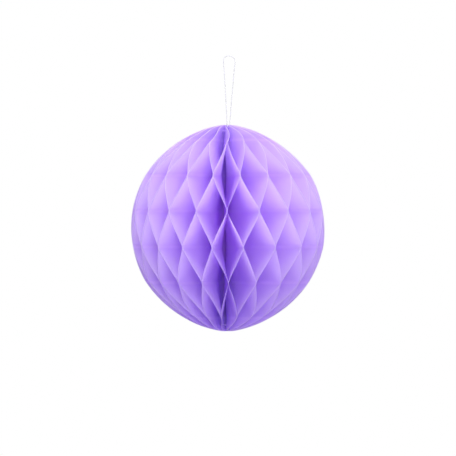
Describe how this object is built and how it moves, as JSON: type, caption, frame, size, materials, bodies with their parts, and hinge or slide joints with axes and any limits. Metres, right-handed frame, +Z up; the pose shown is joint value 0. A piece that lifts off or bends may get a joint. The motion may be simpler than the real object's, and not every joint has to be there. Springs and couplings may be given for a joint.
{
  "type": "paper honeycomb ball",
  "caption": "Tissue-paper honeycomb ball of fanned, line-glued half-disc leaves between two cover cards, hung on a thread loop.",
  "frame": {"origin": "the top of the loop of thread, where it rests on its hook", "axes": "+Z up along the ball's own axis; the cover cards meet at the rear, towards +Y; the loop lies in the XZ plane"},
  "size_m": [0.0938, 0.0933, 0.1328],
  "materials": {
    "tissue": "matte",
    "card": "matte",
    "tape": "satin",
    "thread": "matte",
    "loop_thread": "satin"
  },
  "bodies": {
    "hanging_loop": {"hanging_loop": "loop_thread"},
    "knot": {"knot_top": "thread"},
    "core": {"card_fixed": "card", "tape_upper": "tape", "tape_lower": "tape", "binding_top": "thread", "binding_bottom": "thread", "spine_thread": "thread", "knot_bottom": "thread"},
    "leaf_01": {"leaf_01": "tissue"},
    "leaf_02": {"leaf_02": "tissue"},
    "leaf_03": {"leaf_03": "tissue"},
    "leaf_04": {"leaf_04": "tissue"},
    "leaf_05": {"leaf_05": "tissue"},
    "leaf_06": {"leaf_06": "tissue"},
    "leaf_07": {"leaf_07": "tissue"},
    "leaf_08": {"leaf_08": "tissue"},
    "leaf_09": {"leaf_09": "tissue"},
    "leaf_10": {"leaf_10": "tissue"},
    "leaf_11": {"leaf_11": "tissue"},
    "leaf_12": {"leaf_12": "tissue"},
    "leaf_13": {"leaf_13": "tissue"},
    "leaf_14": {"leaf_14": "tissue"},
    "leaf_15": {"leaf_15": "tissue"},
    "leaf_16": {"leaf_16": "tissue"},
    "leaf_17": {"leaf_17": "tissue"},
    "leaf_18": {"leaf_18": "tissue"},
    "leaf_19": {"leaf_19": "tissue"},
    "leaf_20": {"leaf_20": "tissue"},
    "leaf_21": {"leaf_21": "tissue"},
    "leaf_22": {"leaf_22": "tissue"},
    "leaf_23": {"leaf_23": "tissue"},
    "leaf_24": {"leaf_24": "tissue"},
    "leaf_25": {"leaf_25": "tissue"},
    "leaf_26": {"leaf_26": "tissue"},
    "leaf_27": {"leaf_27": "tissue"},
    "leaf_28": {"leaf_28": "tissue"},
    "leaf_29": {"leaf_29": "tissue"},
    "leaf_30": {"leaf_30": "tissue"},
    "leaf_31": {"leaf_31": "tissue"},
    "leaf_32": {"leaf_32": "tissue"},
    "leaf_33": {"leaf_33": "tissue"},
    "leaf_34": {"leaf_34": "tissue"},
    "leaf_35": {"leaf_35": "tissue"},
    "leaf_36": {"leaf_36": "tissue"},
    "leaf_37": {"leaf_37": "tissue"},
    "leaf_38": {"leaf_38": "tissue"},
    "card_moving": {"card_moving": "card"}
  },
  "joints": [
    {"name": "tilt", "type": "hinge", "parent": "hanging_loop", "child": "knot", "pos_m": [0, 0, -0.0349], "axis": [1, 0, 0], "range_deg": [-45, 45]},
    {"name": "spin", "type": "hinge", "parent": "knot", "child": "core", "pos_m": [0, 0, -0.0349], "axis": [0, 0, 1], "continuous": true},
    {"name": "fan_01", "type": "hinge", "parent": "core", "child": "leaf_01", "pos_m": [0, 0, -0.08301], "axis": [0, 0, 1], "range_deg": [-6.2, 0], "deforming": ["leaf_01"]},
    {"name": "fan_02", "type": "hinge", "parent": "core", "child": "leaf_02", "pos_m": [0, 0, -0.08301], "axis": [0, 0, 1], "range_deg": [-15.49, 0], "deforming": ["leaf_02"]},
    {"name": "fan_03", "type": "hinge", "parent": "core", "child": "leaf_03", "pos_m": [0, 0, -0.08301], "axis": [0, 0, 1], "range_deg": [-24.78, 0], "deforming": ["leaf_03"]},
    {"name": "fan_04", "type": "hinge", "parent": "core", "child": "leaf_04", "pos_m": [0, 0, -0.08301], "axis": [0, 0, 1], "range_deg": [-34.07, 0], "deforming": ["leaf_04"]},
    {"name": "fan_05", "type": "hinge", "parent": "core", "child": "leaf_05", "pos_m": [0, 0, -0.08301], "axis": [0, 0, 1], "range_deg": [-43.37, 0], "deforming": ["leaf_05"]},
    {"name": "fan_06", "type": "hinge", "parent": "core", "child": "leaf_06", "pos_m": [0, 0, -0.08301], "axis": [0, 0, 1], "range_deg": [-52.66, 0], "deforming": ["leaf_06"]},
    {"name": "fan_07", "type": "hinge", "parent": "core", "child": "leaf_07", "pos_m": [0, 0, -0.08301], "axis": [0, 0, 1], "range_deg": [-61.95, 0], "deforming": ["leaf_07"]},
    {"name": "fan_08", "type": "hinge", "parent": "core", "child": "leaf_08", "pos_m": [0, 0, -0.08301], "axis": [0, 0, 1], "range_deg": [-71.24, 0], "deforming": ["leaf_08"]},
    {"name": "fan_09", "type": "hinge", "parent": "core", "child": "leaf_09", "pos_m": [0, 0, -0.08301], "axis": [0, 0, 1], "range_deg": [-80.54, 0], "deforming": ["leaf_09"]},
    {"name": "fan_10", "type": "hinge", "parent": "core", "child": "leaf_10", "pos_m": [0, 0, -0.08301], "axis": [0, 0, 1], "range_deg": [-89.83, 0], "deforming": ["leaf_10"]},
    {"name": "fan_11", "type": "hinge", "parent": "core", "child": "leaf_11", "pos_m": [0, 0, -0.08301], "axis": [0, 0, 1], "range_deg": [-99.12, 0], "deforming": ["leaf_11"]},
    {"name": "fan_12", "type": "hinge", "parent": "core", "child": "leaf_12", "pos_m": [0, 0, -0.08301], "axis": [0, 0, 1], "range_deg": [-108.41, 0], "deforming": ["leaf_12"]},
    {"name": "fan_13", "type": "hinge", "parent": "core", "child": "leaf_13", "pos_m": [0, 0, -0.08301], "axis": [0, 0, 1], "range_deg": [-117.71, 0], "deforming": ["leaf_13"]},
    {"name": "fan_14", "type": "hinge", "parent": "core", "child": "leaf_14", "pos_m": [0, 0, -0.08301], "axis": [0, 0, 1], "range_deg": [-127, 0], "deforming": ["leaf_14"]},
    {"name": "fan_15", "type": "hinge", "parent": "core", "child": "leaf_15", "pos_m": [0, 0, -0.08301], "axis": [0, 0, 1], "range_deg": [-136.29, 0], "deforming": ["leaf_15"]},
    {"name": "fan_16", "type": "hinge", "parent": "core", "child": "leaf_16", "pos_m": [0, 0, -0.08301], "axis": [0, 0, 1], "range_deg": [-145.58, 0], "deforming": ["leaf_16"]},
    {"name": "fan_17", "type": "hinge", "parent": "core", "child": "leaf_17", "pos_m": [0, 0, -0.08301], "axis": [0, 0, 1], "range_deg": [-154.88, 0], "deforming": ["leaf_17"]},
    {"name": "fan_18", "type": "hinge", "parent": "core", "child": "leaf_18", "pos_m": [0, 0, -0.08301], "axis": [0, 0, 1], "range_deg": [-164.17, 0], "deforming": ["leaf_18"]},
    {"name": "fan_19", "type": "hinge", "parent": "core", "child": "leaf_19", "pos_m": [0, 0, -0.08301], "axis": [0, 0, 1], "range_deg": [-173.46, 0], "deforming": ["leaf_19"]},
    {"name": "fan_20", "type": "hinge", "parent": "core", "child": "leaf_20", "pos_m": [0, 0, -0.08301], "axis": [0, 0, 1], "range_deg": [-182.75, 0], "deforming": ["leaf_20"]},
    {"name": "fan_21", "type": "hinge", "parent": "core", "child": "leaf_21", "pos_m": [0, 0, -0.08301], "axis": [0, 0, 1], "range_deg": [-192.04, 0], "deforming": ["leaf_21"]},
    {"name": "fan_22", "type": "hinge", "parent": "core", "child": "leaf_22", "pos_m": [0, 0, -0.08301], "axis": [0, 0, 1], "range_deg": [-201.34, 0], "deforming": ["leaf_22"]},
    {"name": "fan_23", "type": "hinge", "parent": "core", "child": "leaf_23", "pos_m": [0, 0, -0.08301], "axis": [0, 0, 1], "range_deg": [-210.63, 0], "deforming": ["leaf_23"]},
    {"name": "fan_24", "type": "hinge", "parent": "core", "child": "leaf_24", "pos_m": [0, 0, -0.08301], "axis": [0, 0, 1], "range_deg": [-219.92, 0], "deforming": ["leaf_24"]},
    {"name": "fan_25", "type": "hinge", "parent": "core", "child": "leaf_25", "pos_m": [0, 0, -0.08301], "axis": [0, 0, 1], "range_deg": [-229.21, 0], "deforming": ["leaf_25"]},
    {"name": "fan_26", "type": "hinge", "parent": "core", "child": "leaf_26", "pos_m": [0, 0, -0.08301], "axis": [0, 0, 1], "range_deg": [-238.51, 0], "deforming": ["leaf_26"]},
    {"name": "fan_27", "type": "hinge", "parent": "core", "child": "leaf_27", "pos_m": [0, 0, -0.08301], "axis": [0, 0, 1], "range_deg": [-247.8, 0], "deforming": ["leaf_27"]},
    {"name": "fan_28", "type": "hinge", "parent": "core", "child": "leaf_28", "pos_m": [0, 0, -0.08301], "axis": [0, 0, 1], "range_deg": [-257.09, 0], "deforming": ["leaf_28"]},
    {"name": "fan_29", "type": "hinge", "parent": "core", "child": "leaf_29", "pos_m": [0, 0, -0.08301], "axis": [0, 0, 1], "range_deg": [-266.38, 0], "deforming": ["leaf_29"]},
    {"name": "fan_30", "type": "hinge", "parent": "core", "child": "leaf_30", "pos_m": [0, 0, -0.08301], "axis": [0, 0, 1], "range_deg": [-275.68, 0], "deforming": ["leaf_30"]},
    {"name": "fan_31", "type": "hinge", "parent": "core", "child": "leaf_31", "pos_m": [0, 0, -0.08301], "axis": [0, 0, 1], "range_deg": [-284.97, 0], "deforming": ["leaf_31"]},
    {"name": "fan_32", "type": "hinge", "parent": "core", "child": "leaf_32", "pos_m": [0, 0, -0.08301], "axis": [0, 0, 1], "range_deg": [-294.26, 0], "deforming": ["leaf_32"]},
    {"name": "fan_33", "type": "hinge", "parent": "core", "child": "leaf_33", "pos_m": [0, 0, -0.08301], "axis": [0, 0, 1], "range_deg": [-303.55, 0], "deforming": ["leaf_33"]},
    {"name": "fan_34", "type": "hinge", "parent": "core", "child": "leaf_34", "pos_m": [0, 0, -0.08301], "axis": [0, 0, 1], "range_deg": [-312.85, 0], "deforming": ["leaf_34"]},
    {"name": "fan_35", "type": "hinge", "parent": "core", "child": "leaf_35", "pos_m": [0, 0, -0.08301], "axis": [0, 0, 1], "range_deg": [-322.14, 0], "deforming": ["leaf_35"]},
    {"name": "fan_36", "type": "hinge", "parent": "core", "child": "leaf_36", "pos_m": [0, 0, -0.08301], "axis": [0, 0, 1], "range_deg": [-331.43, 0], "deforming": ["leaf_36"]},
    {"name": "fan_37", "type": "hinge", "parent": "core", "child": "leaf_37", "pos_m": [0, 0, -0.08301], "axis": [0, 0, 1], "range_deg": [-340.72, 0], "deforming": ["leaf_37"]},
    {"name": "fold", "type": "hinge", "parent": "core", "child": "leaf_38", "pos_m": [0, 0, -0.08301], "axis": [0, 0, 1], "range_deg": [-349.91, 0], "deforming": ["leaf_38"]},
    {"name": "card_hinge", "type": "hinge", "parent": "leaf_38", "child": "card_moving", "pos_m": [0.00075, 0.0207, -0.08301], "axis": [0, 0, 1], "range_deg": [-6.14, 0]}
  ],
  "couplings": [
    {"joint": "fan_01", "follows": "fold", "ratio": 0.017413},
    {"joint": "fan_02", "follows": "fold", "ratio": 0.043969},
    {"joint": "fan_03", "follows": "fold", "ratio": 0.070526},
    {"joint": "fan_04", "follows": "fold", "ratio": 0.097082},
    {"joint": "fan_05", "follows": "fold", "ratio": 0.12364},
    {"joint": "fan_06", "follows": "fold", "ratio": 0.15019},
    {"joint": "fan_07", "follows": "fold", "ratio": 0.17675},
    {"joint": "fan_08", "follows": "fold", "ratio": 0.20331},
    {"joint": "fan_09", "follows": "fold", "ratio": 0.22986},
    {"joint": "fan_10", "follows": "fold", "ratio": 0.25642},
    {"joint": "fan_11", "follows": "fold", "ratio": 0.28298},
    {"joint": "fan_12", "follows": "fold", "ratio": 0.30953},
    {"joint": "fan_13", "follows": "fold", "ratio": 0.33609},
    {"joint": "fan_14", "follows": "fold", "ratio": 0.36265},
    {"joint": "fan_15", "follows": "fold", "ratio": 0.3892},
    {"joint": "fan_16", "follows": "fold", "ratio": 0.41576},
    {"joint": "fan_17", "follows": "fold", "ratio": 0.44232},
    {"joint": "fan_18", "follows": "fold", "ratio": 0.46887},
    {"joint": "fan_19", "follows": "fold", "ratio": 0.49543},
    {"joint": "fan_20", "follows": "fold", "ratio": 0.52199},
    {"joint": "fan_21", "follows": "fold", "ratio": 0.54854},
    {"joint": "fan_22", "follows": "fold", "ratio": 0.5751},
    {"joint": "fan_23", "follows": "fold", "ratio": 0.60165},
    {"joint": "fan_24", "follows": "fold", "ratio": 0.62821},
    {"joint": "fan_25", "follows": "fold", "ratio": 0.65477},
    {"joint": "fan_26", "follows": "fold", "ratio": 0.68132},
    {"joint": "fan_27", "follows": "fold", "ratio": 0.70788},
    {"joint": "fan_28", "follows": "fold", "ratio": 0.73444},
    {"joint": "fan_29", "follows": "fold", "ratio": 0.76099},
    {"joint": "fan_30", "follows": "fold", "ratio": 0.78755},
    {"joint": "fan_31", "follows": "fold", "ratio": 0.8141},
    {"joint": "fan_32", "follows": "fold", "ratio": 0.84066},
    {"joint": "fan_33", "follows": "fold", "ratio": 0.86722},
    {"joint": "fan_34", "follows": "fold", "ratio": 0.89377},
    {"joint": "fan_35", "follows": "fold", "ratio": 0.92033},
    {"joint": "fan_36", "follows": "fold", "ratio": 0.94689},
    {"joint": "fan_37", "follows": "fold", "ratio": 0.97344},
    {"joint": "card_hinge", "follows": "fold", "ratio": 0.017404}
  ]
}
